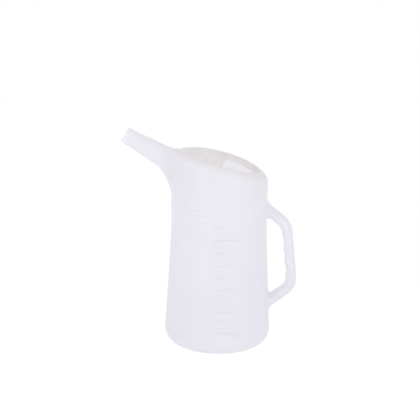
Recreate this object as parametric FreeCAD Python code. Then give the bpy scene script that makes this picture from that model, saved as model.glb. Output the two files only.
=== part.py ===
import FreeCAD, Part
import math
import os
from FreeCAD import Vector

# Four litre calf drenching jug, one blow moulding in natural polyethylene, split into the mould's zones.
# Origin: body axis at the resting plane. +Z up, +X towards the handle, -X towards the spout.

# Body
WALL = 2.0
BODY_RADIUS = 68.0
BASE_FLARE = 8.0
BASE_CORNER_RADIUS = 20.0
FOOT_RING_WIDTH = 6.0
PUSH_UP_DEPTH = 3.5
PUSH_UP_SLOPE = 6.0

# Slanted deck: an arc seen from the side, high at the spout
DECK_HEIGHT = 268.0
DECK_SLOPE = 13.5
DECK_CURVE_RADIUS = 454.0
SHOULDER_RADIUS = 10.0
RIM_DEPTH = 14.0
RECESS_MARGIN = 14.0
RECESS_DEPTH = 3.0

# Level bead round the body, and the height where the wall starts to flare
BEAD_UNDER_RIM = 43.8
BEAD_WIDTH = 8.0
BEAD_PROUD = 1.3
FLARE_UNDER_BEAD = 36.0

# D-shaped filling opening
OPENING_EDGE_X = 5.0
OPENING_INSET = 5.0
OPENING_CORNER_RADIUS = 7.0
LIP_WIDTH = 3.0
LIP_RISE = 1.5
LIP_DROP = 1.5

# Spout
SPOUT_REACH = 67.0
SPOUT_RISE = 18.5
SPOUT_SLOPE = 28.0
TIP_RADIUS = 11.8
TIP_LENGTH = 12.0
TIP_CHAMFER = 1.2
HORN_TAPER = 4.5
HORN_SWEEP_RADIUS = 44.0
HORN_SPLIT = 0.55

# Handle
HANDLE_THICKNESS = 15.5
HANDLE_WIDTH = 25.0
HANDLE_REACH = 28.4
HANDLE_UNDER_RIM = 69.3
GRIP_HEIGHT = 89.6
GRIP_LEAN = 9.8
TOP_ARM_SLOPE = 36.0
LOW_ARM_SLOPE = 38.0
HANDLE_BEND_RADIUS = 12.0
FINGER_PITCH = 20.0
FINGER_DEPTH = 1.8
FINGERS = 3
GRIP_SECTIONS = 21

# Raised marks
MARK_PROUD = 0.5
TICK_WIDTH = 1.4
TICK_STEP_LITRES = 0.25
MARK_CLEARANCE = 2.0
LONG_TICK_ANGLE = 26.0
SHORT_TICK_ANGLE = 12.0
SCALE_ANGLE = -90.0
NUMERAL_HEIGHT = 15.0
NUMERAL_WIDTH = 9.0
NUMERAL_STROKE = 1.8
NUMERAL_GAP = 6.0
CAPACITY_CENTRE = Vector(-17.0, 15.0, 0)
CAPACITY_HEIGHT = 36.0
CAPACITY_LETTER_WIDTH = 10.0
FOUR_STEM_SHARE = 0.75
FOUR_BAR_SHARE = 0.3
ELL_FOOT_SHARE = 0.6
CAPACITY_GAP = 4.0
CAPACITY_STROKE = 2.2

# Worked out from the sizes above
ARC_CENTRE_X = -DECK_CURVE_RADIUS * math.sin(math.radians(DECK_SLOPE))
ARC_CENTRE_Z = DECK_HEIGHT - DECK_CURVE_RADIUS * math.cos(math.radians(DECK_SLOPE))


def deck_level(x):
    """Height of the deck's arc at a distance from the body axis."""
    return ARC_CENTRE_Z + math.sqrt(DECK_CURVE_RADIUS ** 2 - (x - ARC_CENTRE_X) ** 2)


WIDEST_RADIUS = BODY_RADIUS + BASE_FLARE
BASE_FLAT_RADIUS = WIDEST_RADIUS - BASE_CORNER_RADIUS
PUSH_UP_RADIUS = BASE_FLAT_RADIUS - FOOT_RING_WIDTH
RECESS_RADIUS = BODY_RADIUS - RECESS_MARGIN
OPENING_RADIUS = RECESS_RADIUS - OPENING_INSET
LOW_RIM = deck_level(BODY_RADIUS)
HIGH_RIM = deck_level(-BODY_RADIUS)
BEAD_HEIGHT = LOW_RIM - BEAD_UNDER_RIM
BEAD_LOW = BEAD_HEIGHT - BEAD_WIDTH / 2
BEAD_TOP = BEAD_HEIGHT + BEAD_WIDTH / 2
FLARE_TOP = BEAD_HEIGHT - FLARE_UNDER_BEAD
SPOUT_TIP = Vector(-BODY_RADIUS - SPOUT_REACH, 0, HIGH_RIM + SPOUT_RISE)
HANDLE_TOP_CORNER = Vector(BODY_RADIUS + HANDLE_REACH, 0, LOW_RIM - HANDLE_UNDER_RIM)
HANDLE_LOW_CORNER = HANDLE_TOP_CORNER + Vector(GRIP_LEAN, 0, -GRIP_HEIGHT)
REACH = 3 * (BODY_RADIUS + WIDEST_RADIUS)
ABOVE_DECK = REACH / 4
TOP_OF_SPACE = DECK_HEIGHT + BODY_RADIUS
UP = Vector(0, 0, 1)
ACROSS = Vector(0, 1, 0)


def body_of_revolution(inset):
    """The straight-topped jug, outside skin for inset 0 and cavity for inset WALL."""
    corner = BASE_CORNER_RADIUS - inset
    centre = Vector(BASE_FLAT_RADIUS, 0, BASE_CORNER_RADIUS)
    corner_low = centre + Vector(0, 0, -corner)
    corner_mid = centre + Vector(corner * math.cos(math.pi / 4), 0, -corner * math.sin(math.pi / 4))
    widest = centre + Vector(corner, 0, 0)
    side = BODY_RADIUS - inset
    bead_low = Vector(side, 0, BEAD_LOW)
    bead_mid = Vector(side + BEAD_PROUD, 0, BEAD_HEIGHT)
    bead_top = Vector(side, 0, BEAD_TOP)
    floor = PUSH_UP_DEPTH + inset
    outline = [
        Part.LineSegment(Vector(0, 0, floor), Vector(PUSH_UP_RADIUS - PUSH_UP_SLOPE, 0, floor)),
        Part.LineSegment(Vector(PUSH_UP_RADIUS - PUSH_UP_SLOPE, 0, floor), Vector(PUSH_UP_RADIUS, 0, inset)),
        Part.LineSegment(Vector(PUSH_UP_RADIUS, 0, inset), corner_low),
        Part.Arc(corner_low, corner_mid, widest),
        Part.LineSegment(widest, Vector(side, 0, FLARE_TOP)),
        Part.LineSegment(Vector(side, 0, FLARE_TOP), bead_low),
        Part.Arc(bead_low, bead_mid, bead_top),
        Part.LineSegment(bead_top, Vector(side, 0, TOP_OF_SPACE)),
        Part.LineSegment(Vector(side, 0, TOP_OF_SPACE), Vector(0, 0, TOP_OF_SPACE)),
        Part.LineSegment(Vector(0, 0, TOP_OF_SPACE), Vector(0, 0, floor)),
    ]
    face = Part.Face(Part.Wire([piece.toShape() for piece in outline]))
    return face.revolve(Vector(0, 0, 0), UP, 360)


def under_deck(drop):
    """Everything under the deck's arc, lowered by drop square to the deck."""
    start = Vector(ARC_CENTRE_X, -REACH, ARC_CENTRE_Z)
    return Part.makeCylinder(DECK_CURVE_RADIUS - drop, 2 * REACH, start, ACROSS)


def slab(outline, drop_low, drop_high):
    """The part of an upright prism between two levels under the deck's arc."""
    return outline.common(under_deck(drop_high)).cut(under_deck(drop_low))


def column(radius, low=0.0, high=None):
    """Upright cylinder on the body axis."""
    top = TOP_OF_SPACE if high is None else high
    return Part.makeCylinder(radius, top - low, Vector(0, 0, low), UP)


def rounded_top(inset):
    """Jug solid whose slanted top edge is rounded over."""
    blank = body_of_revolution(inset).common(under_deck(inset))
    top_edges = []
    for edge in blank.Edges:
        middle = edge.valueAt((edge.FirstParameter + edge.LastParameter) / 2)
        on_side = abs(math.hypot(middle.x, middle.y) - (BODY_RADIUS - inset)) < 0.01
        level = edge.BoundBox
        if on_side and level.ZMin > BEAD_TOP + 1 and level.XLength > BODY_RADIUS / 4:
            top_edges.append(edge)
    return blank.makeFillet(SHOULDER_RADIUS - inset, top_edges)


def outside_of_body():
    recess = slab(column(RECESS_RADIUS), RECESS_DEPTH, -ABOVE_DECK)
    return rounded_top(0.0).cut(recess)


def cavity_of_body():
    tray = slab(column(RECESS_RADIUS + WALL), RECESS_DEPTH + WALL, -ABOVE_DECK)
    return rounded_top(WALL).cut(tray)


def opening_prism(grow):
    """Upright D-shaped prism of the filling opening, its outline moved out by grow."""
    edge = OPENING_EDGE_X - grow
    radius = OPENING_RADIUS + grow
    corner = OPENING_CORNER_RADIUS + grow
    corner_x = edge + corner
    corner_y = math.sqrt((radius - corner) ** 2 - corner_x ** 2)
    reach = radius / (radius - corner)
    far = Vector(corner_x * reach, corner_y * reach, 0)
    near = Vector(far.x, -far.y, 0)
    turn = math.radians(180 + math.degrees(math.atan2(corner_y, corner_x))) / 2
    elbow = Vector(corner_x + corner * math.cos(turn), corner_y + corner * math.sin(turn), 0)
    outline = [
        Part.Arc(near, Vector(radius, 0, 0), far),
        Part.Arc(far, elbow, Vector(edge, corner_y, 0)),
        Part.LineSegment(Vector(edge, corner_y, 0), Vector(edge, -corner_y, 0)),
        Part.Arc(Vector(edge, -corner_y, 0), Vector(elbow.x, -elbow.y, 0), near),
    ]
    face = Part.Face(Part.Wire([piece.toShape() for piece in outline]))
    return face.extrude(UP * TOP_OF_SPACE)


def spout_point(along, radius):
    """Point on the upper side of the spout, at a distance from the mouth and from its axis."""
    slope = math.radians(SPOUT_SLOPE)
    down = Vector(math.cos(slope), 0, -math.sin(slope))
    square = Vector(math.sin(slope), 0, math.cos(slope))
    return SPOUT_TIP + down * along + square * radius


def horn_start():
    """Distance from the mouth at which the taper turns into the sweep that ends along the wall."""
    slope = math.radians(SPOUT_SLOPE)
    taper = math.radians(HORN_TAPER)
    finish = math.pi / 2 - slope
    run = HORN_SWEEP_RADIUS * (math.sin(finish) - math.sin(taper))
    grow = HORN_SWEEP_RADIUS * (math.cos(taper) - math.cos(finish))
    straight = TIP_RADIUS - math.tan(taper) * TIP_LENGTH + grow
    wall_x = WALL / 4 - BODY_RADIUS
    return (wall_x - SPOUT_TIP.x - run * math.cos(slope) + straight * math.sin(slope)) / (
        math.cos(slope) - math.tan(taper) * math.sin(slope))


def horn_edge(inset, share):
    """Point on the horn's profile: share 0 at the neck, 1 where the sweep starts, 2 at the wall."""
    taper = math.radians(HORN_TAPER)
    start = horn_start()
    if share <= 1:
        along = TIP_LENGTH + (start - TIP_LENGTH) * share
        return spout_point(along, TIP_RADIUS + math.tan(taper) * (along - TIP_LENGTH) - inset)
    angle = taper + (math.pi / 2 - math.radians(SPOUT_SLOPE) - taper) * (share - 1)
    radius = HORN_SWEEP_RADIUS + inset
    centre_along = start - HORN_SWEEP_RADIUS * math.sin(taper)
    centre_radius = TIP_RADIUS + math.tan(taper) * (start - TIP_LENGTH) + HORN_SWEEP_RADIUS * math.cos(taper)
    return spout_point(centre_along + radius * math.sin(angle), centre_radius - radius * math.cos(angle))


def spout_revolved(points_and_arcs):
    """Solid of revolution about the spout's axis."""
    axis = spout_point(1, 0) - SPOUT_TIP
    return Part.Face(Part.Wire(points_and_arcs)).revolve(SPOUT_TIP, axis, 360)


def line(start, end):
    return Part.LineSegment(start, end).toShape()


def horn_inside():
    """The air inside the horn, from the neck to the cavity of the jug."""
    neck = horn_edge(WALL, 0)
    joint = horn_edge(WALL, 1)
    mouth = horn_edge(WALL, 2)
    neck_axis = spout_point(TIP_LENGTH, 0)
    axis = spout_point(1, 0) - SPOUT_TIP
    mouth_axis = SPOUT_TIP + axis * (mouth - SPOUT_TIP).dot(axis)
    sweep = Part.Arc(joint, horn_edge(WALL, 1.5), mouth).toShape()
    return spout_revolved([
        line(neck_axis, neck), line(neck, joint), sweep, line(mouth, mouth_axis), line(mouth_axis, neck_axis)])


def spout_tube():
    """Straight tapered stretch of the spout."""
    return spout_revolved([
        line(horn_edge(0.0, 0), horn_edge(0.0, HORN_SPLIT)),
        line(horn_edge(0.0, HORN_SPLIT), horn_edge(WALL, HORN_SPLIT)),
        line(horn_edge(WALL, HORN_SPLIT), horn_edge(WALL, 0)),
        line(horn_edge(WALL, 0), horn_edge(0.0, 0)),
    ])


def spout_root():
    """Swept stretch of the spout that grows out of the wall."""
    outer_joint = horn_edge(0.0, 1)
    inner_joint = horn_edge(WALL, 1)
    return spout_revolved([
        line(horn_edge(0.0, HORN_SPLIT), outer_joint),
        Part.Arc(outer_joint, horn_edge(0.0, 1.5), horn_edge(0.0, 2)).toShape(),
        line(horn_edge(0.0, 2), horn_edge(WALL, 2)),
        Part.Arc(horn_edge(WALL, 2), horn_edge(WALL, 1.5), inner_joint).toShape(),
        line(inner_joint, horn_edge(WALL, HORN_SPLIT)),
        line(horn_edge(WALL, HORN_SPLIT), horn_edge(0.0, HORN_SPLIT)),
    ])


def spout_tip():
    """Plain round end with a small lead-in that a tube or teat pushes over."""
    outer = [
        spout_point(0, TIP_RADIUS - TIP_CHAMFER), spout_point(TIP_CHAMFER, TIP_RADIUS),
        spout_point(TIP_LENGTH, TIP_RADIUS), spout_point(TIP_LENGTH, TIP_RADIUS - WALL),
        spout_point(0, TIP_RADIUS - WALL),
    ]
    return spout_revolved([line(outer[i - 1], outer[i]) for i in range(len(outer))])


def oval(centre, outward, thickness):
    """Oval section of the handle, its long way across the jug."""
    half_width = (HANDLE_WIDTH - HANDLE_THICKNESS + thickness) / 2
    ellipse = Part.Ellipse(centre + ACROSS * half_width, centre + outward * (thickness / 2), centre)
    return Part.Wire([ellipse.toShape()])


def tube_section(centre, outward):
    """Ring-shaped face: the handle's wall where it is cut square."""
    outer = Part.Face(oval(centre, outward, HANDLE_THICKNESS))
    return outer.cut(Part.Face(oval(centre, outward, HANDLE_THICKNESS - 2 * WALL))).Faces[0]


def arm(corner, grip_way, arm_way):
    """Hollow arm from the grip round its bend and into the body, with the air inside it."""
    turn = math.acos(grip_way.dot(arm_way))
    trim = HANDLE_BEND_RADIUS * math.tan(turn / 2)
    inward = (arm_way - grip_way * grip_way.dot(arm_way)).normalize()
    bend_start = corner - grip_way * trim
    bend_centre = bend_start + inward * HANDLE_BEND_RADIUS
    bend_end = corner + arm_way * trim
    arm_outward = (bend_end - bend_centre).normalize()
    length = (bend_end.x - BODY_RADIUS / 2 - HANDLE_THICKNESS) / abs(arm_way.x)
    hinge = inward.cross(grip_way) * -1
    degrees = math.degrees(turn)
    bend_ring = tube_section(bend_start, inward * -1)
    run_ring = tube_section(bend_end, arm_outward)
    solid = bend_ring.revolve(bend_centre, hinge, degrees).fuse(run_ring.extrude(arm_way * length))
    inside = Part.Face(oval(bend_end, arm_outward, HANDLE_THICKNESS - 2 * WALL)).extrude(arm_way * length)
    return solid, inside, bend_start


def finger_groove(run):
    """Depth of the finger grooves at a distance from the middle of the grip."""
    if abs(run) > FINGER_PITCH * FINGERS / 2:
        return 0.0
    return FINGER_DEPTH * (0.5 + 0.5 * math.cos(2 * math.pi * run / FINGER_PITCH))


def grip(top, low):
    """Hollow grip with finger grooves on its inner side."""
    way = (low - top).normalize()
    outward = way.cross(ACROSS) * -1
    length = (low - top).Length
    solids = []
    for inset in (0.0, WALL):
        sections = []
        for k in range(GRIP_SECTIONS):
            run = length * k / (GRIP_SECTIONS - 1)
            groove = finger_groove(run - length / 2)
            centre = top + way * run + outward * (groove / 2)
            sections.append(oval(centre, outward, HANDLE_THICKNESS - groove - 2 * inset))
        solids.append(Part.makeLoft(sections, True, False))
    return solids[0].cut(solids[1])


def cavity_radius(height):
    """Inside radius of the jug at a height above the resting plane."""
    if height < BASE_CORNER_RADIUS:
        corner = BASE_CORNER_RADIUS - WALL
        sink = BASE_CORNER_RADIUS - height
        return BASE_FLAT_RADIUS + math.sqrt(max(corner ** 2 - sink ** 2, 0.0))
    return wall_radius(height) - WALL


def wall_radius(height):
    """Outside radius of the plain wall at a height above the widest line."""
    share = (FLARE_TOP - height) / (FLARE_TOP - BASE_CORNER_RADIUS)
    return BODY_RADIUS + (WIDEST_RADIUS - BODY_RADIUS) * max(share, 0.0)


def fill_height(litres):
    """Height of the surface when the jug holds this much."""
    step = 0.25
    height = PUSH_UP_DEPTH + WALL
    volume = 0.0
    while volume < litres * 1e6:
        volume += math.pi * cavity_radius(height + step / 2) ** 2 * step
        height += step
    return height


def wall_patch(low, high, start_angle, end_angle):
    """Raised patch on the outside wall between two heights and two angles."""
    levels = [low, high]
    if low < FLARE_TOP < high:
        levels = [low, FLARE_TOP, high]
    inner = [Vector(wall_radius(level), 0, level) for level in levels]
    outer = [Vector(wall_radius(level) + MARK_PROUD, 0, level) for level in reversed(levels)]
    face = Part.Face(Part.makePolygon(inner + outer + [inner[0]]))
    face.rotate(Vector(0, 0, 0), UP, start_angle)
    return face.revolve(Vector(0, 0, 0), UP, end_angle - start_angle)


def graduation_lines():
    """Raised lines up to the bead, which marks three litres itself; every second line is long."""
    ticks = []
    count = 1
    level = fill_height(TICK_STEP_LITRES)
    while level + TICK_WIDTH / 2 < BEAD_LOW - MARK_CLEARANCE:
        if level - TICK_WIDTH / 2 > BASE_CORNER_RADIUS + MARK_CLEARANCE:
            sweep = LONG_TICK_ANGLE if count % 2 == 0 else SHORT_TICK_ANGLE
            low = level - TICK_WIDTH / 2
            ticks.append(wall_patch(low, low + TICK_WIDTH, SCALE_ANGLE, SCALE_ANGLE + sweep))
        count += 1
        level = fill_height(count * TICK_STEP_LITRES)
    return Part.makeCompound(ticks)


def wall_numeral(strokes, top):
    """One numeral from straight strokes, given as shares of its height and width."""
    radius = wall_radius(top)
    per_mm = math.degrees(1 / radius)
    right = SCALE_ANGLE - NUMERAL_GAP * per_mm
    left = right - NUMERAL_WIDTH * per_mm
    stroke_angle = NUMERAL_STROKE * per_mm
    low = top - NUMERAL_HEIGHT
    drawn = None
    for x0, y0, x1, y1 in strokes:
        start = left + (right - left - stroke_angle) * x0
        end = left + (right - left - stroke_angle) * x1 + stroke_angle
        bottom = low + (NUMERAL_HEIGHT - NUMERAL_STROKE) * y0
        upper = low + (NUMERAL_HEIGHT - NUMERAL_STROKE) * y1 + NUMERAL_STROKE
        patch = wall_patch(bottom, upper, start, end)
        drawn = patch if drawn is None else drawn.fuse(patch)
    return drawn.removeSplitter()


def graduation_numerals():
    numerals = {
        1: [(1, 0, 1, 1)],
        2: [(0, 1, 1, 1), (1, 0.5, 1, 1), (0, 0.5, 1, 0.5), (0, 0, 0, 0.5), (0, 0, 1, 0)],
        3: [(0, 1, 1, 1), (0, 0.5, 1, 0.5), (0, 0, 1, 0), (1, 0, 1, 1)],
    }
    raised = []
    for litre, strokes in numerals.items():
        top = min(fill_height(litre), BEAD_LOW - MARK_CLEARANCE)
        raised.append(wall_numeral(strokes, top))
    return Part.makeCompound(raised)


def upright_stroke(start, end):
    """Upright prism along one stroke of a letter, with round ends."""
    run = end - start
    side = UP.cross(run).normalize() * (CAPACITY_STROKE / 2)
    outline = Part.makePolygon([start + side, start - side, end - side, end + side, start + side])
    tall = UP * TOP_OF_SPACE
    prism = Part.Face(outline).extrude(tall)
    for centre in (start, end):
        prism = prism.fuse(Part.makeCylinder(CAPACITY_STROKE / 2, tall.Length, centre, UP))
    return prism


def capacity_mark():
    """Plain figure 4 and letter L raised on the spout half of the deck."""
    low = CAPACITY_CENTRE.y - CAPACITY_HEIGHT / 2
    high = CAPACITY_CENTRE.y + CAPACITY_HEIGHT / 2
    four_left = CAPACITY_CENTRE.x - CAPACITY_GAP / 2 - CAPACITY_LETTER_WIDTH
    four_stem = four_left + CAPACITY_LETTER_WIDTH * FOUR_STEM_SHARE
    bar = low + CAPACITY_HEIGHT * FOUR_BAR_SHARE
    letter_left = CAPACITY_CENTRE.x + CAPACITY_GAP / 2 + CAPACITY_STROKE
    letter_right = letter_left + CAPACITY_LETTER_WIDTH * ELL_FOOT_SHARE
    letters = [
        [
            (Vector(four_stem, low, 0), Vector(four_stem, high, 0)),
            (Vector(four_stem, high, 0), Vector(four_left, bar, 0)),
            (Vector(four_left, bar, 0), Vector(four_left + CAPACITY_LETTER_WIDTH, bar, 0)),
        ],
        [
            (Vector(letter_left, high, 0), Vector(letter_left, low, 0)),
            (Vector(letter_left, low, 0), Vector(letter_right, low, 0)),
        ],
    ]
    raised = []
    for strokes in letters:
        prism = upright_stroke(*strokes[0])
        for stroke in strokes[1:]:
            prism = prism.fuse(upright_stroke(*stroke))
        raised.append(slab(prism, RECESS_DEPTH, RECESS_DEPTH - MARK_PROUD))
    return Part.makeCompound(raised)


def body_zones(outside, cavity, passages):
    """The shell of the body cut into its zones, with the ways to spout and handle opened."""
    shell = outside.cut(cavity)
    above_rim_joint = column(REACH / 2, BEAD_TOP).cut(under_deck(RIM_DEPTH))
    recess_column = column(RECESS_RADIUS)
    zones = {
        "base_pan": column(BASE_FLAT_RADIUS, 0, BASE_CORNER_RADIUS),
        "base_corner": column(REACH / 2, 0, BASE_CORNER_RADIUS).cut(column(BASE_FLAT_RADIUS)),
        "lower_body": column(REACH / 2, BASE_CORNER_RADIUS, BEAD_LOW),
        "level_bead": column(REACH / 2, BEAD_LOW, BEAD_TOP),
        "upper_body": column(REACH / 2, BEAD_TOP).common(under_deck(RIM_DEPTH)),
        "deck_rim": above_rim_joint.cut(recess_column),
        "top_deck": above_rim_joint.common(recess_column).cut(opening_prism(LIP_WIDTH)),
    }
    parts = {}
    for name, zone in zones.items():
        piece = shell.common(zone)
        if name in ("lower_body", "level_bead", "upper_body", "deck_rim"):
            for passage in passages:
                piece = piece.cut(passage)
        parts[name] = piece
    return parts


def filling_lip():
    ring = opening_prism(LIP_WIDTH).cut(opening_prism(0.0))
    return slab(ring, RECESS_DEPTH + WALL + LIP_DROP, RECESS_DEPTH - LIP_RISE)


def largest_solid(shape):
    """The main solid of a cut, without the ends that lie inside the cavity."""
    return max(shape.Solids, key=lambda solid: solid.Volume)


def build():
    outside = outside_of_body()
    cavity = cavity_of_body()
    grip_way = (HANDLE_LOW_CORNER - HANDLE_TOP_CORNER).normalize()
    top_angle = math.radians(TOP_ARM_SLOPE)
    low_angle = math.radians(LOW_ARM_SLOPE)
    top_way = Vector(-math.cos(top_angle), 0, math.sin(top_angle))
    low_way = Vector(-math.cos(low_angle), 0, -math.sin(low_angle))
    upper_arm, upper_air, grip_top = arm(HANDLE_TOP_CORNER, grip_way * -1, top_way)
    lower_arm, lower_air, grip_low = arm(HANDLE_LOW_CORNER, grip_way, low_way)
    horn_air = horn_inside().common(under_deck(RECESS_DEPTH + 2 * WALL))
    passages = [upper_air, lower_air, horn_air]
    parts = body_zones(outside, cavity, passages)
    parts["filling_lip"] = filling_lip()
    horn = spout_root().cut(outside).cut(column(RECESS_RADIUS + WALL))
    parts["spout_root"] = horn.cut(parts["deck_rim"])
    parts["spout_tube"] = spout_tube()
    parts["spout_tip"] = spout_tip()
    parts["handle_upper_arm"] = upper_arm.cut(outside)
    parts["handle_grip"] = grip(grip_top, grip_low)
    parts["handle_lower_arm"] = lower_arm.cut(outside)
    for name in ("spout_root", "handle_upper_arm", "handle_lower_arm", "lower_body", "upper_body", "deck_rim"):
        parts[name] = largest_solid(parts[name])
    parts["graduation_lines"] = graduation_lines()
    parts["graduation_numerals"] = graduation_numerals()
    parts["capacity_mark"] = capacity_mark()
    return parts


os.makedirs("parts", exist_ok=True)
for part_name, shape in build().items():
    shape.exportStep("parts/" + part_name + ".step")
    print(part_name, len(shape.Solids), shape.isValid(), round(shape.Volume, 1))
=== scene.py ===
import math

import bmesh
import bpy
import numpy as np
from mathutils import Matrix, Vector


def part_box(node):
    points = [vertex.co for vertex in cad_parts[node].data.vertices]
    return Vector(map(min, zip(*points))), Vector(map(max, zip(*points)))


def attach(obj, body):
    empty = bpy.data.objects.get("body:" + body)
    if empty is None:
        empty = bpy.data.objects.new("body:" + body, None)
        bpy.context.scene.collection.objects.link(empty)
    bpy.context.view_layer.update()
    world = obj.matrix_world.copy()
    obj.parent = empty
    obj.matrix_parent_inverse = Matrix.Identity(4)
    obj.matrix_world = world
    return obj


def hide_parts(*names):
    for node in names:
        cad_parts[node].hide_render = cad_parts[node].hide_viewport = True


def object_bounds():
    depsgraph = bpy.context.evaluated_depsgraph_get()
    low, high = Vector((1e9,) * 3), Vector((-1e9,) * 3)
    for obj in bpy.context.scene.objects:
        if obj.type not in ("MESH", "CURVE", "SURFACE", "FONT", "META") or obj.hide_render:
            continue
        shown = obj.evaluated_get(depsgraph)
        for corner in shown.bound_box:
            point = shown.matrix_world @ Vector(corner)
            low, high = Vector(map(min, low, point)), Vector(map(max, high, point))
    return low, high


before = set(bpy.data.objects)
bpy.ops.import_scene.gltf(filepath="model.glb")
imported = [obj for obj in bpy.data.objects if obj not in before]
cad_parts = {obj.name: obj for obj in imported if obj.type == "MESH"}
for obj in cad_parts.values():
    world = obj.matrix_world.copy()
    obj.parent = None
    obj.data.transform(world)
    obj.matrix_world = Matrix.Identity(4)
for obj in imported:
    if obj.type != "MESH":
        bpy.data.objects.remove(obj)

cad_box = [list(corner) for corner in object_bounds()]


# Moulded shell: the whole jug is one blow moulding in natural, milky polyethylene.
# The parison swells against the mould, so every change of shape has a generous radius
# and the wall is two millimetres thick all over, the handle and the spout included.
WALL = 0.002
BODY_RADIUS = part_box("upper_body")[1].y
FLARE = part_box("base_corner")[1].y - BODY_RADIUS
BASE_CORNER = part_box("base_corner")[1].z
BEAD_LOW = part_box("level_bead")[0].z
BEAD_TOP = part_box("level_bead")[1].z
BEAD_PROUD = 0.0013
FLARE_TOP = BEAD_LOW - 0.032
FLARE_BLEND = 0.06
FOOT_RIDGE = 0.0006
FOOT_RIDGE_WIDTH = 0.0022
FLOOR_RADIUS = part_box("base_pan")[1].y
PUSH_UP_DEPTH = 0.0035
PUSH_UP_EDGE = FLOOR_RADIUS - 0.009
PUSH_UP_SLOPE = 0.005

DECK_RADIUS = 0.454
DECK_SLOPE = math.radians(13.5)
DECK_HEIGHT = 0.268
DECK_CENTRE_X = -DECK_RADIUS * math.sin(DECK_SLOPE)
DECK_CENTRE_Z = DECK_HEIGHT - DECK_RADIUS * math.cos(DECK_SLOPE)
SHOULDER_ROUNDING = 0.010
RIM_DEPTH = 0.014
RECESS_RADIUS = 0.054
RECESS_DEPTH = 0.003
RECESS_ROUNDING = 0.0025

SPOUT_SLOPE = math.radians(28.0)
SPOUT_MOUTH = np.array([-0.135, 0.0, 0.29745])
SPOUT_WAY = np.array([math.cos(SPOUT_SLOPE), 0.0, -math.sin(SPOUT_SLOPE)])
SPOUT_UP = np.array([math.sin(SPOUT_SLOPE), 0.0, math.cos(SPOUT_SLOPE)])
TIP_RADIUS = 0.0118
TIP_LENGTH = 0.012
SPOUT_TAPER = math.radians(4.5)
SPOUT_INSIDE_BODY = 0.100
UNDER_SPOUT_ROUNDING = 0.026
OVER_SPOUT_ROUNDING = 0.006
TUBE_LENGTH = 0.030

HANDLE_THICKNESS = 0.0155
HANDLE_WIDTH = 0.025
HANDLE_ROUNDING = 0.006
UPPER_CORNER = np.array([0.0964, 0.17658])
LOWER_CORNER = np.array([0.1062, 0.08698])
UPPER_ARM_SLOPE = math.radians(36.0)
LOWER_ARM_SLOPE = math.radians(38.0)
ARM_LENGTH = 0.046
BEND_TRIM = 0.013
FINGER_PITCH = 0.020
FINGER_DEPTH = 0.0018
FINGERS = 3

SKIN_GRID = 0.002
GRADIENT_STEP = 0.0002


def rounded_meeting(a, b, radius):
    """Two solids grown together with a fillet in the corner between them."""
    reach = np.hypot(np.maximum(radius - a, 0), np.maximum(radius - b, 0))
    return np.maximum(radius, np.minimum(a, b)) - reach


def rounded_edge(a, b, radius):
    """What two solids share, with the edge rounded over."""
    reach = np.hypot(np.maximum(radius + a, 0), np.maximum(radius + b, 0))
    return np.minimum(-radius, np.maximum(a, b)) + reach


def above_deck(p):
    """Height above the arched deck, square to it."""
    return np.hypot(p[:, 0] - DECK_CENTRE_X, p[:, 2] - DECK_CENTRE_Z) - DECK_RADIUS


def body_field(p):
    """Distance outside the round body: flared wall, bead, pushed-up floor and arched top."""
    across = np.hypot(p[:, 0], p[:, 1])
    up = p[:, 2]
    share = (FLARE_TOP - up) / (FLARE_TOP - BASE_CORNER)
    share = (share + np.sqrt(share ** 2 + FLARE_BLEND ** 2)) / 2
    bead = 1 - ((2 * up - BEAD_LOW - BEAD_TOP) / (BEAD_TOP - BEAD_LOW)) ** 2
    side = across - BODY_RADIUS - FLARE * share - BEAD_PROUD * np.maximum(bead, 0)
    side -= FOOT_RIDGE * np.exp(-((up - BASE_CORNER) / FOOT_RIDGE_WIDTH) ** 2)
    rise = np.clip((PUSH_UP_EDGE + PUSH_UP_SLOPE - across) / PUSH_UP_SLOPE, 0, 1)
    floor = PUSH_UP_DEPTH * rise * rise * (3 - 2 * rise) - up
    jug = rounded_edge(side, floor, BASE_CORNER)
    return rounded_edge(jug, above_deck(p), SHOULDER_ROUNDING)


def along_spout(p):
    """Distance from the mouth, measured down the spout's axis."""
    return (p - SPOUT_MOUTH) @ SPOUT_WAY


def spout_field(p):
    """Distance outside the tapered spout, which runs on a little way into the body."""
    along = along_spout(p)
    off_axis = np.linalg.norm(p - SPOUT_MOUTH - along[:, None] * SPOUT_WAY, axis=1)
    radius = TIP_RADIUS + math.tan(SPOUT_TAPER) * np.maximum(along - TIP_LENGTH, 0)
    cone = (off_axis - radius) * math.cos(SPOUT_TAPER)
    return np.maximum(np.maximum(cone, along - SPOUT_INSIDE_BODY), -along)


def handle_route():
    """Centre line of the handle in the upright plane, with its two bends as curves."""
    upper_way = np.array([-math.cos(UPPER_ARM_SLOPE), math.sin(UPPER_ARM_SLOPE)])
    lower_way = np.array([-math.cos(LOWER_ARM_SLOPE), -math.sin(LOWER_ARM_SLOPE)])
    grip_way = (LOWER_CORNER - UPPER_CORNER) / np.linalg.norm(LOWER_CORNER - UPPER_CORNER)
    route = [UPPER_CORNER + upper_way * ARM_LENGTH]
    for corner, into, out_of in (
        (UPPER_CORNER, -upper_way, grip_way),
        (LOWER_CORNER, grip_way, lower_way),
    ):
        start = corner - into * BEND_TRIM
        end = corner + out_of * BEND_TRIM
        for share in np.linspace(0, 1, 9):
            low = start + (corner - start) * share
            high = corner + (end - corner) * share
            route.append(low + (high - low) * share)
    route.append(LOWER_CORNER + lower_way * (ARM_LENGTH + BEND_TRIM))
    return np.array(route), grip_way


HANDLE_ROUTE, GRIP_WAY = handle_route()
GRIP_OUT = np.array([-GRIP_WAY[1], GRIP_WAY[0]])
GRIP_MIDDLE = (UPPER_CORNER + LOWER_CORNER) / 2


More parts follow.
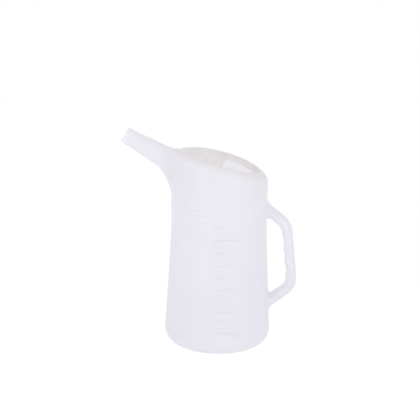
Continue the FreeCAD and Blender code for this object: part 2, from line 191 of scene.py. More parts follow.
def handle_field(p):
    """Distance outside the oval handle, thinned by grooves for the fingers on its inner side."""
    flat = p[:, [0, 2]]
    best = np.full(len(p), 1.0)
    for start, end in zip(HANDLE_ROUTE[:-1], HANDLE_ROUTE[1:]):
        run = end - start
        share = np.clip((flat - start) @ run / (run @ run), 0, 1)
        best = np.minimum(best, np.linalg.norm(flat - start - share[:, None] * run, axis=1))
    down_grip = (flat - GRIP_MIDDLE) @ GRIP_WAY
    towards_body = (flat - GRIP_MIDDLE) @ GRIP_OUT < 0
    groove = FINGER_DEPTH * (0.5 + 0.5 * np.cos(2 * math.pi * down_grip / FINGER_PITCH))
    groove = groove * (np.abs(down_grip) < FINGER_PITCH * FINGERS / 2) * towards_body
    half_thick = HANDLE_THICKNESS / 2 - groove
    half_wide = HANDLE_WIDTH / 2
    size = np.hypot(best / half_thick, p[:, 1] / half_wide)
    steep = np.hypot(best / half_thick ** 2, p[:, 1] / half_wide ** 2)
    return size * (size - 1) / np.maximum(steep, 1e-6)


def shell_field(p):
    """Distance outside the whole moulding: negative in the plastic and in the air inside it."""
    over = np.clip(0.5 + (p - SPOUT_MOUTH) @ SPOUT_UP / (4 * TIP_RADIUS), 0, 1)
    rounding = UNDER_SPOUT_ROUNDING + (OVER_SPOUT_ROUNDING - UNDER_SPOUT_ROUNDING) * over
    jug = rounded_meeting(body_field(p), spout_field(p), rounding)
    jug = rounded_meeting(jug, handle_field(p), HANDLE_ROUNDING)
    across = np.hypot(p[:, 0], p[:, 1])
    recess = rounded_edge(across - RECESS_RADIUS, -above_deck(p) - RECESS_DEPTH, RECESS_ROUNDING)
    return rounded_edge(jug, -recess, RECESS_ROUNDING)


def uphill(p):
    """Direction out of the shell at each point."""
    slope = np.empty_like(p)
    for axis in range(3):
        step = np.zeros(3)
        step[axis] = GRADIENT_STEP
        slope[:, axis] = shell_field(p + step) - shell_field(p - step)
    return slope / np.maximum(np.linalg.norm(slope, axis=1, keepdims=True), 1e-12)


def skin_at(depth):
    """Triangles of the surface that lies this deep under the outside of the moulding."""
    low = np.array(cad_box[0]) - 3 * SKIN_GRID
    high = np.array(cad_box[1]) + 3 * SKIN_GRID
    lines = [np.arange(low[axis], high[axis], SKIN_GRID) for axis in range(3)]
    grid = np.stack(np.meshgrid(*lines, indexing="ij"), axis=-1)
    counts = grid.shape[:3]
    value = np.concatenate([shell_field(layer.reshape(-1, 3)) for layer in grid]).reshape(counts) + depth
    inside = value < 0
    total = np.zeros((*[n - 1 for n in counts], 3))
    hits = np.zeros([n - 1 for n in counts])
    edges = []
    for axis in range(3):
        head = [slice(None)] * 3
        tail = [slice(None)] * 3
        head[axis] = slice(0, -1)
        tail[axis] = slice(1, None)
        start, end = value[tuple(head)], value[tuple(tail)]
        crossed = (start < 0) != (end < 0)
        where = np.argwhere(crossed)
        share = start[crossed] / (start[crossed] - end[crossed])
        place = low + where * SKIN_GRID
        place[:, axis] += share * SKIN_GRID
        one, two = (axis + 1) % 3, (axis + 2) % 3
        around = []
        for a, b in ((0, 0), (1, 0), (1, 1), (0, 1)):
            cell = where.copy()
            cell[:, one] -= a
            cell[:, two] -= b
            np.add.at(total, tuple(cell.T), place)
            np.add.at(hits, tuple(cell.T), 1)
            around.append(cell)
        edges.append((around, inside[tuple(where.T)]))
    used = hits > 0
    number = np.full(hits.shape, -1)
    number[used] = np.arange(used.sum())
    points = total[used] / hits[used][:, None]
    for _ in range(4):
        points -= (shell_field(points) + depth)[:, None] * uphill(points)
    triangles = []
    for around, starts_inside in edges:
        quad = np.stack([number[tuple(cell.T)] for cell in around], axis=1)
        quad[~starts_inside] = quad[~starts_inside][:, ::-1]
        triangles += [quad[:, [0, 3, 2]], quad[:, [0, 2, 1]]]
    triangles = np.concatenate(triangles)[:, ::-1]
    return points, triangles


def cut_skin(points, triangles, value):
    """The triangles where value is negative and where it is positive, trimmed exactly along zero."""
    side = value[triangles] < 0
    count = side.sum(axis=1)
    kept = {True: [triangles[count == 3]], False: [triangles[count == 0]]}
    crossing = triangles[(count == 1) | (count == 2)]
    sides = value[crossing] < 0
    lone_is_low = sides.sum(axis=1) == 1
    lone = np.argmax(sides == lone_is_low[:, None], axis=1)
    order = (lone[:, None] + np.arange(3)) % 3
    turned = np.take_along_axis(crossing, order, axis=1)
    pairs = np.concatenate([turned[:, [0, 1]], turned[:, [0, 2]]])
    ends, which = np.unique(np.sort(pairs, axis=1), axis=0, return_inverse=True)
    which = which.reshape(-1)
    share = value[ends[:, 0]] / (value[ends[:, 0]] - value[ends[:, 1]])
    fresh = points[ends[:, 0]] + share[:, None] * (points[ends[:, 1]] - points[ends[:, 0]])
    new = len(points) + which
    first, second = new[:len(turned)], new[len(turned):]
    tip = np.stack([turned[:, 0], first, second], axis=1)
    rest_a = np.stack([first, turned[:, 1], turned[:, 2]], axis=1)
    rest_b = np.stack([first, turned[:, 2], second], axis=1)
    for low in (True, False):
        chosen = lone_is_low == low
        kept[low].append(tip[chosen])
        kept[not low] += [rest_a[chosen], rest_b[chosen]]
    together = np.concatenate([points, fresh])
    return together, np.concatenate(kept[True]), np.concatenate(kept[False])


CLOUD_SCALE = 16.0
RIPPLE_SCALE = 42.0
GRAIN_SCALE = 1400.0
CLOUDING = 0.03
GRAIN_ROUGHENS = 0.10
GRAIN_RELIEF = 0.04


def milky_tone():
    """Shader group: faint clouding of the plastic, fine moulding grain and slow ripple of the wall."""
    group = bpy.data.node_groups.new("milky_tone", "ShaderNodeTree")
    for name, default in (("Colour", None), ("Clouding", CLOUDING), ("Gloss", 0.35), ("Ripple", 1.0)):
        kind = "NodeSocketColor" if default is None else "NodeSocketFloat"
        socket = group.interface.new_socket(name, in_out="INPUT", socket_type=kind)
        if default is not None:
            socket.default_value = default
    for name in ("Colour", "Roughness", "Height"):
        kind = "NodeSocketColor" if name == "Colour" else "NodeSocketFloat"
        group.interface.new_socket(name, in_out="OUTPUT", socket_type=kind)
    nodes, links = group.nodes, group.links
    given = nodes.new("NodeGroupInput")
    put = nodes.new("NodeGroupOutput")
    place = nodes.new("ShaderNodeTexCoord")
    noises = {}
    for name, scale, detail in (
        ("cloud", CLOUD_SCALE, 3.0), ("ripple", RIPPLE_SCALE, 1.0), ("grain", GRAIN_SCALE, 2.0),
    ):
        noise = nodes.new("ShaderNodeTexNoise")
        noise.inputs["Scale"].default_value = scale
        noise.inputs["Detail"].default_value = detail
        links.new(place.outputs["Object"], noise.inputs["Vector"])
        noises[name] = noise

    def maths(operation, first, second):
        node = nodes.new("ShaderNodeMath")
        node.operation = operation
        for socket, value in zip(node.inputs, (first, second)):
            if isinstance(value, float):
                socket.default_value = value
            else:
                links.new(value, socket)
        return node.outputs["Value"]

    centred = maths("SUBTRACT", noises["cloud"].outputs["Fac"], 0.5)
    shade = maths("ADD", maths("MULTIPLY", centred, given.outputs["Clouding"]), 1.0)
    tint = nodes.new("ShaderNodeVectorMath")
    tint.operation = "SCALE"
    links.new(given.outputs["Colour"], tint.inputs[0])
    links.new(shade, tint.inputs["Scale"])
    links.new(tint.outputs["Vector"], put.inputs["Colour"])
    worn = maths("MULTIPLY", noises["grain"].outputs["Fac"], GRAIN_ROUGHENS)
    links.new(maths("ADD", worn, given.outputs["Gloss"]), put.inputs["Roughness"])
    slow = maths("MULTIPLY", noises["ripple"].outputs["Fac"], given.outputs["Ripple"])
    fine = maths("MULTIPLY", noises["grain"].outputs["Fac"], GRAIN_RELIEF)
    links.new(maths("ADD", slow, fine), put.inputs["Height"])
    return group


# Painted shade of the top: where the greyer, warmer top colour starts and where it is full, up the deck and
# in from the wall.
TOP_SHADE_FROM = -0.009
TOP_SHADE_TO = -0.002
TOP_SHADE_FADES_OUT = 0.004
TOP_SHADE_FULL_INSIDE = 0.010


def top_shade_mask():
    """Shader group: mask of the painted shade on the top, from 0 on the wall to 1 on the flat top."""
    group = bpy.data.node_groups.new("top_shade_mask", "ShaderNodeTree")
    for name, default in (("Lowest", TOP_SHADE_FROM), ("Highest", TOP_SHADE_TO)):
        socket = group.interface.new_socket(name, in_out="INPUT", socket_type="NodeSocketFloat")
        socket.default_value = default
    group.interface.new_socket("Mask", in_out="OUTPUT", socket_type="NodeSocketFloat")
    nodes, links = group.nodes, group.links
    given = nodes.new("NodeGroupInput")
    put = nodes.new("NodeGroupOutput")
    place = nodes.new("ShaderNodeTexCoord")
    flatten = nodes.new("ShaderNodeVectorMath")
    flatten.operation = "MULTIPLY"
    flatten.inputs[1].default_value = (1, 0, 1)
    away = nodes.new("ShaderNodeVectorMath")
    away.operation = "DISTANCE"
    away.inputs[1].default_value = (DECK_CENTRE_X, 0, DECK_CENTRE_Z)
    above = nodes.new("ShaderNodeMath")
    above.operation = "SUBTRACT"
    above.inputs[1].default_value = DECK_RADIUS
    fade = nodes.new("ShaderNodeMapRange")
    fade.interpolation_type = "SMOOTHSTEP"
    links.new(place.outputs["Object"], flatten.inputs[0])
    links.new(flatten.outputs["Vector"], away.inputs[0])
    links.new(away.outputs["Value"], above.inputs[0])
    links.new(above.outputs["Value"], fade.inputs["Value"])
    links.new(given.outputs["Lowest"], fade.inputs["From Min"])
    links.new(given.outputs["Highest"], fade.inputs["From Max"])
    level = nodes.new("ShaderNodeVectorMath")
    level.operation = "MULTIPLY"
    level.inputs[1].default_value = (1, 1, 0)
    across = nodes.new("ShaderNodeVectorMath")
    across.operation = "LENGTH"
    edge = nodes.new("ShaderNodeMapRange")
    edge.interpolation_type = "SMOOTHSTEP"
    edge.inputs["From Min"].default_value = BODY_RADIUS + TOP_SHADE_FADES_OUT
    edge.inputs["From Max"].default_value = BODY_RADIUS - TOP_SHADE_FULL_INSIDE
    both = nodes.new("ShaderNodeMath")
    both.operation = "MULTIPLY"
    links.new(place.outputs["Object"], level.inputs[0])
    links.new(level.outputs["Vector"], across.inputs[0])
    links.new(across.outputs["Value"], edge.inputs["Value"])
    links.new(edge.outputs["Result"], both.inputs[0])
    links.new(fade.outputs["Result"], both.inputs[1])
    links.new(both.outputs["Value"], put.inputs["Mask"])
    return group


MILKY_TONE = milky_tone()
TOP_SHADE_MASK = top_shade_mask()
MILK_WHITE = (0.956, 0.954, 0.975)
# Painted shade: the top is given this greyer, warmer white because its upward faces are lit less than the
# wall.
TOP_SHADE_WHITE = (0.952, 0.939, 0.937)
SEE_THROUGH = 0.70
PLASTIC_IOR = 1.54
RELIEF_STRENGTH = 0.35
RELIEF_DEPTH = 0.0008


def milky_plastic(name, colour=MILK_WHITE, gloss=0.24, ripple=1.0, see_through=SEE_THROUGH, shaded_top=False):
    """Natural polyethylene: a soft sheen on top, with part of the light coming through the wall."""
    material = bpy.data.materials.new(name)
    material.use_nodes = True
    nodes, links = material.node_tree.nodes, material.node_tree.links
    shader = nodes["Principled BSDF"]
    tone = nodes.new("ShaderNodeGroup")
    tone.node_tree = MILKY_TONE
    # Painted shade: through the mask, the faces on top blend to the greyer, warmer top colour.
    if shaded_top:
        deck = nodes.new("ShaderNodeGroup")
        deck.node_tree = TOP_SHADE_MASK
        blend = nodes.new("ShaderNodeMix")
        blend.data_type = "RGBA"
        blend.inputs["A"].default_value = (*colour, 1)
        blend.inputs["B"].default_value = (*TOP_SHADE_WHITE, 1)
        links.new(deck.outputs["Mask"], blend.inputs["Factor"])
        links.new(blend.outputs["Result"], tone.inputs["Colour"])
    tone.inputs["Colour"].default_value = (*colour, 1)
    tone.inputs["Gloss"].default_value = gloss
    tone.inputs["Ripple"].default_value = ripple
    relief = nodes.new("ShaderNodeBump")
    relief.inputs["Strength"].default_value = RELIEF_STRENGTH
    relief.inputs["Distance"].default_value = RELIEF_DEPTH
    links.new(tone.outputs["Height"], relief.inputs["Height"])
    links.new(tone.outputs["Colour"], shader.inputs["Base Color"])
    links.new(tone.outputs["Roughness"], shader.inputs["Roughness"])
    links.new(relief.outputs["Normal"], shader.inputs["Normal"])
    shader.inputs["IOR"].default_value = PLASTIC_IOR
    glow = nodes.new("ShaderNodeBsdfTranslucent")
    links.new(tone.outputs["Colour"], glow.inputs["Color"])
    mix = nodes.new("ShaderNodeMixShader")
    mix.inputs["Fac"].default_value = see_through
    links.new(shader.outputs["BSDF"], mix.inputs[1])
    links.new(glow.outputs["BSDF"], mix.inputs[2])
    links.new(mix.outputs["Shader"], nodes["Material Output"].inputs["Surface"])
    return material


# The shell carries the painted shade of the top on its rim.
SHELL_PLASTIC = milky_plastic("milky_shell", shaded_top=True)


LIP_WIDTH = 0.003
LIP_SEAT = 0.0015
OPENING_CORNER = 0.007
MOUTH_CUT_DEPTH = 0.02


def mouth_field(p):
    """Distance outside the D-shaped hole that the lip is welded round, seen from above."""
    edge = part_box("filling_lip")[0].x + LIP_WIDTH - LIP_SEAT
    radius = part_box("filling_lip")[1].x - LIP_WIDTH + LIP_SEAT
    across = np.hypot(p[:, 0], p[:, 1])
    hole = rounded_edge(across - radius, edge - p[:, 0], OPENING_CORNER + LIP_SEAT)
    return np.maximum(hole, -above_deck(p) - MOUTH_CUT_DEPTH)


def grip_run(p, corner):
    """Distance down the grip's line from one of its corners."""
    return (p[:, [0, 2]] - corner) @ GRIP_WAY


def zone_cuts():
    """Where the moulding's zones part: name of the piece to take off, and the field below zero in it."""
    def on_spout(p):
        return np.maximum(spout_field(p) - body_field(p), p[:, 0] + 0.5 * BODY_RADIUS)

    def on_handle(p):
        return np.maximum(handle_field(p) - body_field(p), 0.5 * BODY_RADIUS - p[:, 0])

    def off_rim(p):
        return -above_deck(p) - RIM_DEPTH

    return [
        ("opening", mouth_field),
        ("spout_tip", lambda p: along_spout(p) - TIP_LENGTH),
        ("spout_tube", lambda p: along_spout(p) - TIP_LENGTH - TUBE_LENGTH),
        ("spout_root", on_spout),
        ("handle", on_handle),
        ("base_pan", lambda p: np.maximum(np.hypot(p[:, 0], p[:, 1]) - FLOOR_RADIUS, p[:, 2] - BASE_CORNER)),
        ("base_corner", lambda p: p[:, 2] - BASE_CORNER),
        ("lower_body", lambda p: p[:, 2] - BEAD_LOW),
        ("level_bead", lambda p: p[:, 2] - BEAD_TOP),
        ("upper_body", lambda p: -off_rim(p)),
        ("top_deck", lambda p: np.hypot(p[:, 0], p[:, 1]) - RECESS_RADIUS),
    ]


def cut_zones(depth):
    """One skin of the moulding, inside or outside, as the triangles of each zone."""
    points, left = skin_at(depth)
    sheets = {}
    for name, field in zone_cuts():
        points, taken, left = cut_skin(points, left, field(points))
        sheets[name] = taken
    sheets["deck_rim"] = left
    handle = sheets.pop("handle")
    points, upper, handle = cut_skin(points, handle, grip_run(points, UPPER_CORNER) - BEND_TRIM)
    points, grip, lower = cut_skin(points, handle, grip_run(points, LOWER_CORNER) + BEND_TRIM)
    sheets.update(handle_upper_arm=upper, handle_grip=grip, handle_lower_arm=lower)
    return points, sheets


OUTSIDE = cut_zones(0.0)
INSIDE = cut_zones(WALL)


def shell_piece(name, node, material=SHELL_PLASTIC):
    """One zone of the moulding: its outer and inner skin, open where the next zone carries them on."""
    mesh = bmesh.new()
    for (points, sheets), turn in ((OUTSIDE, 1), (INSIDE, -1)):
        triangles = sheets[node][:, ::turn]
        used, numbers = np.unique(triangles, return_inverse=True)
        verts = [mesh.verts.new(place) for place in points[used]]
        for corners in numbers.reshape(-1, 3):
            try:
                mesh.faces.new([verts[corner] for corner in corners])
            except ValueError:
                continue
    made = bpy.data.meshes.new(name)
    mesh.to_mesh(made)
    mesh.free()
    made.materials.append(material)
    made.shade_smooth()
    places = np.empty(3 * len(made.vertices), dtype=np.float32)
    made.vertices.foreach_get("co", places)
    places = places.reshape(-1, 3).astype(float)
    outward = uphill(places)
    outward[shell_field(places) < -WALL / 2] *= -1
    made.normals_split_custom_set_from_vertices(outward)
    piece = bpy.data.objects.new(name, made)
    bpy.context.scene.collection.objects.link(piece)
    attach(piece, "root")
    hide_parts(node)
    return piece


for zone in ("base_pan", "base_corner", "lower_body", "level_bead", "upper_body", "deck_rim",
             "spout_root", "spout_tube", "handle_upper_arm", "handle_grip", "handle_lower_arm"):
    shell_piece(zone + "_moulding", zone)


# Deck panel: the sunken D inside the rim, drawn a greyer, warmer white as painted shade, since
# its upward face is lit less than the wall. The filling hole is trimmed out of it by hand.
DECK_SHADED_PLASTIC = milky_plastic("milky_deck", colour=TOP_SHADE_WHITE, gloss=0.34)
shell_piece("top_deck_moulding", "top_deck", material=DECK_SHADED_PLASTIC)


# Filling lip: the trimmed edge of the D-shaped hole, turned over to a smooth bead so that
# a hand or a hose can rub on it. It is the same plastic, a little thicker, and takes the deck's painted
# shade.
LIP_RISE = 0.0015
LIP_DROP = 0.0035
LIP_PROFILE = 14
LIP_SQUARENESS = 0.6
OUTLINE_POINTS = 160


def deck_height(x):
    """Height of the deck's arc above the ground."""
    return DECK_CENTRE_Z + np.sqrt(DECK_RADIUS ** 2 - (x - DECK_CENTRE_X) ** 2)


def ring_mesh(name, rings, material, closed_rows=True):
    """Mesh through rows of points, every row closed into a ring."""
    mesh = bmesh.new()
    rows = [[mesh.verts.new(place) for place in ring] for ring in rings]
    pairs = list(zip(rows, rows[1:]))
    if closed_rows:
        pairs.append((rows[-1], rows[0]))
    for row, following in pairs:
        for k in range(len(row)):
            mesh.faces.new((row[k - 1], row[k], following[k], following[k - 1]))
    bmesh.ops.recalc_face_normals(mesh, faces=mesh.faces)
    made = bpy.data.meshes.new(name)
    mesh.to_mesh(made)
    mesh.free()
    made.materials.append(material)
    made.shade_smooth()
    piece = bpy.data.objects.new(name, made)
    bpy.context.scene.collection.objects.link(piece)
    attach(piece, "root")
    return piece


def mouth_outline(grow, count=OUTLINE_POINTS):
    """Points round the D-shaped filling opening, moved outwards by grow."""
    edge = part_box("filling_lip")[0].x + LIP_WIDTH - grow
    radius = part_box("filling_lip")[1].x - LIP_WIDTH + grow
    corner = OPENING_CORNER + grow
    centre_x = edge + corner
    centre_y = math.sqrt((radius - corner) ** 2 - centre_x ** 2)
    turn = math.atan2(centre_y, centre_x)
    points = []
    for share in np.linspace(0, 1, count // 2, endpoint=False):
        angle = turn * (2 * share - 1)
        points.append((radius * math.cos(angle), radius * math.sin(angle)))
    for share in np.linspace(0, 1, count // 8, endpoint=False):
        angle = turn + (math.pi - turn) * share
        points.append((centre_x + corner * math.cos(angle), centre_y + corner * math.sin(angle)))
    for share in np.linspace(0, 1, count // 4, endpoint=False):
        points.append((edge, centre_y * (1 - 2 * share)))
    for share in np.linspace(0, 1, count // 8, endpoint=False):
        angle = -math.pi + (math.pi - turn) * share
        points.append((centre_x + corner * math.cos(angle), -centre_y + corner * math.sin(angle)))
    return np.array(points)


def lip_rings():
    """Rounded square profile carried round the hole and up and down with the deck."""
    low = -RECESS_DEPTH - WALL - LIP_DROP
    high = -RECESS_DEPTH + LIP_RISE
    for k in range(LIP_PROFILE):
        angle = 2 * math.pi * k / LIP_PROFILE
        wide = math.copysign(abs(math.cos(angle)) ** LIP_SQUARENESS, math.cos(angle))
        tall = math.copysign(abs(math.sin(angle)) ** LIP_SQUARENESS, math.sin(angle))
        flat = mouth_outline(LIP_WIDTH * (1 + wide) / 2)
        lift = (low + high) / 2 + tall * (high - low) / 2
        yield np.column_stack([flat, deck_height(flat[:, 0]) + lift])


lip = ring_mesh("filling_lip_bead", list(lip_rings()), DECK_SHADED_PLASTIC)
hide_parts("filling_lip")


# Spout end: the plain round nose that a teat or a drench tube is pushed over. The flash is
# cut off square and the cut is just broken, inside and outside.
MOUTH_BREAK = 0.0009
TIP_SEGMENTS = 96


def lathe_spout(profile):
    """Rings round the spout's axis through points given along it and out from it."""
    for along, radius in profile:
        centre = SPOUT_MOUTH + SPOUT_WAY * along
        turns = np.linspace(0, 2 * math.pi, TIP_SEGMENTS, endpoint=False)[:, None]
        yield centre + radius * (np.cos(turns) * SPOUT_UP + np.sin(turns) * np.array([0.0, 1.0, 0.0]))


def broken_corner(along, radius, inward, outward):
    """Quarter round from the end face on to the side of the nose."""
    for angle in np.linspace(0, math.pi / 2, 5)[::outward]:
        yield along - MOUTH_BREAK * math.sin(angle), radius + inward * MOUTH_BREAK * math.cos(angle)


bore = TIP_RADIUS - WALL
nose = [(TIP_LENGTH, bore), (TIP_LENGTH / 2, bore)]
nose += broken_corner(MOUTH_BREAK, bore + MOUTH_BREAK, -1, 1)
nose += broken_corner(MOUTH_BREAK, TIP_RADIUS - MOUTH_BREAK, 1, -1)
nose += [(TIP_LENGTH / 2, TIP_RADIUS), (TIP_LENGTH, TIP_RADIUS)]
tip = ring_mesh("spout_tip_nose", list(lathe_spout(nose)), SHELL_PLASTIC, closed_rows=False)
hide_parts("spout_tip")


# Graduation lines: raised bars cut into the mould wall, so they are the same plastic and
# stand a fraction of a millimetre proud. Every second one is long; the bead is the three litre line.
# Their plastic is drawn a little whiter and more see-through than the wall, a painted highlight.
MARK_PROUD = 0.0003
TICK_WIDTH = 0.0014
TICK_STEP = 0.00025
MARK_CLEARANCE = 0.002
LONG_TICK = math.radians(26.0)
SHORT_TICK = math.radians(12.0)
SCALE_TURN = math.radians(-90.0)


def wall_radius(height):
    """Outside radius of the wall, flare included."""
    share = (FLARE_TOP - height) / (FLARE_TOP - BASE_CORNER)
    return BODY_RADIUS + FLARE * (share + math.hypot(share, FLARE_BLEND)) / 2


def tick_levels():
    """Heights of the quarter litres, from the area inside the wall."""
    height, volume, count, step = PUSH_UP_DEPTH + WALL, 0.0, 1, 0.00025
    while height + TICK_WIDTH / 2 < BEAD_LOW - MARK_CLEARANCE:
        inside = wall_radius(height) - WALL
        if height < BASE_CORNER:
            hollow = BASE_CORNER - WALL
            inside = FLOOR_RADIUS + math.sqrt(max(hollow ** 2 - (BASE_CORNER - height) ** 2, 0))
        volume += math.pi * inside ** 2 * step
        height += step
        if volume >= count * TICK_STEP:
            if height - TICK_WIDTH / 2 > BASE_CORNER + MARK_CLEARANCE:
                yield height, count % 2 == 0
            count += 1


def tick_tree():
    """Node tree that puts a curved bar at each point, scaled out to the wall."""
    tree = bpy.data.node_groups.new("graduation_bars", "GeometryNodeTree")
    tree.interface.new_socket("Levels", in_out="INPUT", socket_type="NodeSocketGeometry")
    inputs = {}
    for name in ("Bar Height", "Bar Depth", "Long Sweep", "Short Sweep", "Start Angle"):
        inputs[name] = tree.interface.new_socket(name, in_out="INPUT", socket_type="NodeSocketFloat")
    inputs["Plastic"] = tree.interface.new_socket("Plastic", in_out="INPUT", socket_type="NodeSocketMaterial")
    tree.interface.new_socket("Bars", in_out="OUTPUT", socket_type="NodeSocketGeometry")
    nodes, links = tree.nodes, tree.links
    given = nodes.new("NodeGroupInput")
    put = nodes.new("NodeGroupOutput")
    section = nodes.new("GeometryNodeCurvePrimitiveQuadrilateral")
    links.new(given.outputs["Bar Depth"], section.inputs["Width"])
    links.new(given.outputs["Bar Height"], section.inputs["Height"])
    bars = []
    for sweep in ("Short Sweep", "Long Sweep"):
        arc = nodes.new("GeometryNodeCurveArc")
        arc.inputs["Resolution"].default_value = 14
        arc.inputs["Radius"].default_value = 1.0
        links.new(given.outputs["Start Angle"], arc.inputs["Start Angle"])
        links.new(given.outputs[sweep], arc.inputs["Sweep Angle"])
        bar = nodes.new("GeometryNodeCurveToMesh")
        bar.inputs["Fill Caps"].default_value = True
        links.new(arc.outputs["Curve"], bar.inputs["Curve"])
        links.new(section.outputs["Curve"], bar.inputs["Profile Curve"])
        bars.append(bar.outputs["Mesh"])
    places = []
    for choice, bar in enumerate(bars):
        is_long = nodes.new("GeometryNodeInputNamedAttribute")
        is_long.data_type = "FLOAT"
        is_long.inputs["Name"].default_value = "is_long"
        test = nodes.new("FunctionNodeCompare")
        test.data_type = "FLOAT"
        test.operation = "GREATER_THAN" if choice else "LESS_THAN"
        test.inputs["B"].default_value = 0.5
        links.new(is_long.outputs["Attribute"], test.inputs["A"])
        girth = nodes.new("GeometryNodeInputNamedAttribute")
        girth.data_type = "FLOAT_VECTOR"
        girth.inputs["Name"].default_value = "girth"
        stand = nodes.new("GeometryNodeInstanceOnPoints")
        links.new(given.outputs["Levels"], stand.inputs["Points"])
        links.new(test.outputs["Result"], stand.inputs["Selection"])
        links.new(bar, stand.inputs["Instance"])
        links.new(girth.outputs["Attribute"], stand.inputs["Scale"])
        places.append(stand.outputs["Instances"])
    join = nodes.new("GeometryNodeJoinGeometry")
    for place in places:
        links.new(place, join.inputs["Geometry"])
    real = nodes.new("GeometryNodeRealizeInstances")
    links.new(join.outputs["Geometry"], real.inputs["Geometry"])
    paint = nodes.new("GeometryNodeSetMaterial")
    links.new(real.outputs["Geometry"], paint.inputs["Geometry"])
    links.new(given.outputs["Plastic"], paint.inputs["Material"])
    links.new(paint.outputs["Geometry"], put.inputs["Bars"])
    return tree, {name: socket.identifier for name, socket in inputs.items()}


# Painted highlight: the marks are a little whiter and let more light through than the wall, so the raised
# bars and numerals read light.
MARK_HIGHLIGHT_WHITE = (0.97, 0.965, 0.985)
MARK_HIGHLIGHT_PLASTIC = milky_plastic("milky_marks", colour=MARK_HIGHLIGHT_WHITE, gloss=0.28, see_through=0.84)
levels = list(tick_levels())
points = bpy.data.meshes.new("graduation_levels")
points.from_pydata([(0, 0, height) for height, _ in levels], [], [])
points.attributes.new("girth", "FLOAT_VECTOR", "POINT")
points.attributes.new("is_long", "FLOAT", "POINT")
for k, (height, is_long) in enumerate(levels):
    points.attributes["girth"].data[k].vector = (wall_radius(height), wall_radius(height), 1)
    points.attributes["is_long"].data[k].value = float(is_long)
bars = bpy.data.objects.new("graduation_levels", points)
bpy.context.scene.collection.objects.link(bars)
tree, sockets = tick_tree()
maker = bars.modifiers.new("graduation_bars", "NODES")
maker.node_group = tree
for name, value in (
    ("Bar Height", TICK_WIDTH), ("Bar Depth", 2 * MARK_PROUD / BODY_RADIUS), ("Long Sweep", LONG_TICK),
    ("Short Sweep", SHORT_TICK), ("Start Angle", SCALE_TURN), ("Plastic", MARK_HIGHLIGHT_PLASTIC),
):
    maker[sockets[name]] = value
shaped = bars.evaluated_get(bpy.context.evaluated_depsgraph_get())
baked = bpy.data.meshes.new_from_object(shaped)
baked.name = "graduation_bars"
bpy.data.objects.remove(bars)
graduation = bpy.data.objects.new("graduation_bars", baked)
bpy.context.scene.collection.objects.link(graduation)
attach(graduation, "root")
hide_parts("graduation_lines")


# Numerals and the plain capacity figure: raised in the mould with square edges, the numerals
# in the lines' plastic with its painted highlight. The capacity figure is drawn near pure white
# and lets most light through, a painted highlight that keeps it bright on the shaded deck.
# Their shape is already right, so they only take the plastic.
# Painted highlight: the capacity figure is near pure white and lets most light through, so it stays bright on
# the shaded deck.
CAPACITY_HIGHLIGHT_WHITE = (0.99, 0.99, 0.99)
CAPACITY_HIGHLIGHT_PLASTIC = milky_plastic("milky_capacity_mark", colour=CAPACITY_HIGHLIGHT_WHITE, gloss=0.3, see_through=0.95)
for mark, plastic in (("graduation_numerals", MARK_HIGHLIGHT_PLASTIC), ("capacity_mark", CAPACITY_HIGHLIGHT_PLASTIC)):
    mark_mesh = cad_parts[mark].data
    mark_mesh.materials.clear()
    mark_mesh.materials.append(plastic)


# Floor: a wide plain white table top that fades into a white room.
FLOOR_WHITE = (0.93, 0.93, 0.93)
FLOOR_ROUGHNESS = 0.9
FLOOR_GLOW = 0.36
FLOOR_REACH = 3


def background_rays(nodes, links):
    """One for the rays that show the background: seen, mirrored or through the plastic."""
    path = nodes.new("ShaderNodeLightPath")
    seen_or_mirrored = nodes.new("ShaderNodeMath")
    seen_or_mirrored.operation = "MAXIMUM"
    seen_in_any_way = nodes.new("ShaderNodeMath")
    seen_in_any_way.operation = "MAXIMUM"
    links.new(path.outputs["Is Camera Ray"], seen_or_mirrored.inputs[0])
    links.new(path.outputs["Is Glossy Ray"], seen_or_mirrored.inputs[1])
    links.new(seen_or_mirrored.outputs["Value"], seen_in_any_way.inputs[0])
    links.new(path.outputs["Is Transmission Ray"], seen_in_any_way.inputs[1])
    return seen_in_any_way.outputs["Value"]


def white_floor():
    """Matt white that keeps the jug's soft shadow and glows a little as background."""
    material = bpy.data.materials.new("white_table")
    material.use_nodes = True
    nodes, links = material.node_tree.nodes, material.node_tree.links
    paint = nodes["Principled BSDF"]
    paint.inputs["Base Color"].default_value = (*FLOOR_WHITE, 1)
    paint.inputs["Roughness"].default_value = FLOOR_ROUGHNESS
    lift = nodes.new("ShaderNodeEmission")
    lift.inputs["Strength"].default_value = FLOOR_GLOW
    nothing = nodes.new("ShaderNodeEmission")
    nothing.inputs["Strength"].default_value = 0.0
    choose = nodes.new("ShaderNodeMixShader")
    both = nodes.new("ShaderNodeAddShader")
    links.new(background_rays(nodes, links), choose.inputs["Fac"])
    links.new(nothing.outputs["Emission"], choose.inputs[1])
    links.new(lift.outputs["Emission"], choose.inputs[2])
    links.new(choose.outputs["Shader"], both.inputs[0])
    links.new(paint.outputs["BSDF"], both.inputs[1])
    links.new(both.outputs["Shader"], nodes["Material Output"].inputs["Surface"])
    return material


floor_mesh = bpy.data.meshes.new("table")
corners = [(FLOOR_REACH * x, FLOOR_REACH * y, 0) for x, y in ((-1, -1), (1, -1), (1, 1), (-1, 1))]
floor_mesh.from_pydata(corners, [], [(0, 1, 2, 3)])
floor_mesh.materials.append(white_floor())
table = bpy.data.objects.new("table", floor_mesh)
bpy.context.scene.collection.objects.link(table)


# Room light: an even white room, a shade dimmer and warmer overhead, and two tall soft
# boxes in front that put the long pale streaks down the round wall.
ROOM_STRENGTH = 0.74
OVERHEAD = (0.86, 0.84, 0.83)
ROUND_ABOUT = (1.0, 1.0, 1.0)
ROOM_FADE = (0.35, 0.95)
SOFT_BOX_WATTS = 2.65
SOFT_BOX_WIDTH = 0.07
SOFT_BOX_HEIGHT = 0.8
SOFT_BOX_AWAY = 1.3
SOFT_BOX_CENTRE = 0.27
SOFT_BOX_AIM = 0.11


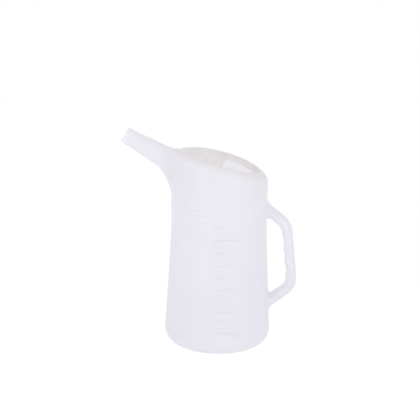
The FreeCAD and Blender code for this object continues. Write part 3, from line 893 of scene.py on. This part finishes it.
def room_light():
    """World that lights the jug evenly and shows plain white as background."""
    world = bpy.data.worlds.new("white_room")
    world.use_nodes = True
    nodes, links = world.node_tree.nodes, world.node_tree.links
    room = nodes["Background"]
    place = nodes.new("ShaderNodeTexCoord")
    split = nodes.new("ShaderNodeSeparateXYZ")
    fade = nodes.new("ShaderNodeValToRGB")
    fade.color_ramp.elements[0].position = ROOM_FADE[0]
    fade.color_ramp.elements[0].color = (*ROUND_ABOUT, 1)
    fade.color_ramp.elements[1].position = ROOM_FADE[1]
    fade.color_ramp.elements[1].color = (*OVERHEAD, 1)
    links.new(place.outputs["Generated"], split.inputs["Vector"])
    links.new(split.outputs["Z"], fade.inputs["Fac"])
    links.new(fade.outputs["Color"], room.inputs["Color"])
    room.inputs["Strength"].default_value = ROOM_STRENGTH
    seen = nodes.new("ShaderNodeBackground")
    seen.inputs["Color"].default_value = (1, 1, 1, 1)
    choose = nodes.new("ShaderNodeMixShader")
    links.new(background_rays(nodes, links), choose.inputs["Fac"])
    links.new(room.outputs["Background"], choose.inputs[1])
    links.new(seen.outputs["Background"], choose.inputs[2])
    links.new(choose.outputs["Shader"], nodes["World Output"].inputs["Surface"])
    return world


def soft_box(name, azimuth):
    """Tall area lamp that stands round the jug at this angle from the front."""
    lamp = bpy.data.lights.new(name, "AREA")
    lamp.shape = "RECTANGLE"
    lamp.size = SOFT_BOX_WIDTH
    lamp.size_y = SOFT_BOX_HEIGHT
    lamp.energy = SOFT_BOX_WATTS
    stand = bpy.data.objects.new(name, lamp)
    angle = math.radians(azimuth)
    spot = Vector((SOFT_BOX_AWAY * math.sin(angle), -SOFT_BOX_AWAY * math.cos(angle), SOFT_BOX_CENTRE))
    aim = Vector((0, 0, SOFT_BOX_AIM)) - spot
    stand.matrix_world = Matrix.Translation(spot) @ aim.to_track_quat("-Z", "Y").to_matrix().to_4x4()
    bpy.context.scene.collection.objects.link(stand)


bpy.context.scene.world = room_light()
soft_box("soft_box_left", -36)
soft_box("soft_box_right", 44)


# Camera: a long lens a little above the jug and a little to the handle's side.
CAMERA_PLACE = (0.09415, -1.19630, 0.47758)
CAMERA_TURN = math.radians(5.13)
CAMERA_TILT = math.radians(76.67)
CAMERA_ROLL = math.radians(0.94)
CAMERA_LENS = 74.25
camera = bpy.data.cameras.new("camera")
camera.lens = CAMERA_LENS
camera.sensor_width = 36.0
eye = bpy.data.objects.new("camera", camera)
bpy.context.scene.collection.objects.link(eye)
turn = Matrix.Rotation(CAMERA_TURN, 4, "Z") @ Matrix.Rotation(CAMERA_TILT, 4, "X")
turn = turn @ Matrix.Rotation(CAMERA_ROLL, 4, "Z")
eye.matrix_world = Matrix.Translation(CAMERA_PLACE) @ turn
bpy.context.scene.camera = eye
bpy.context.scene.view_settings.view_transform = "Standard"
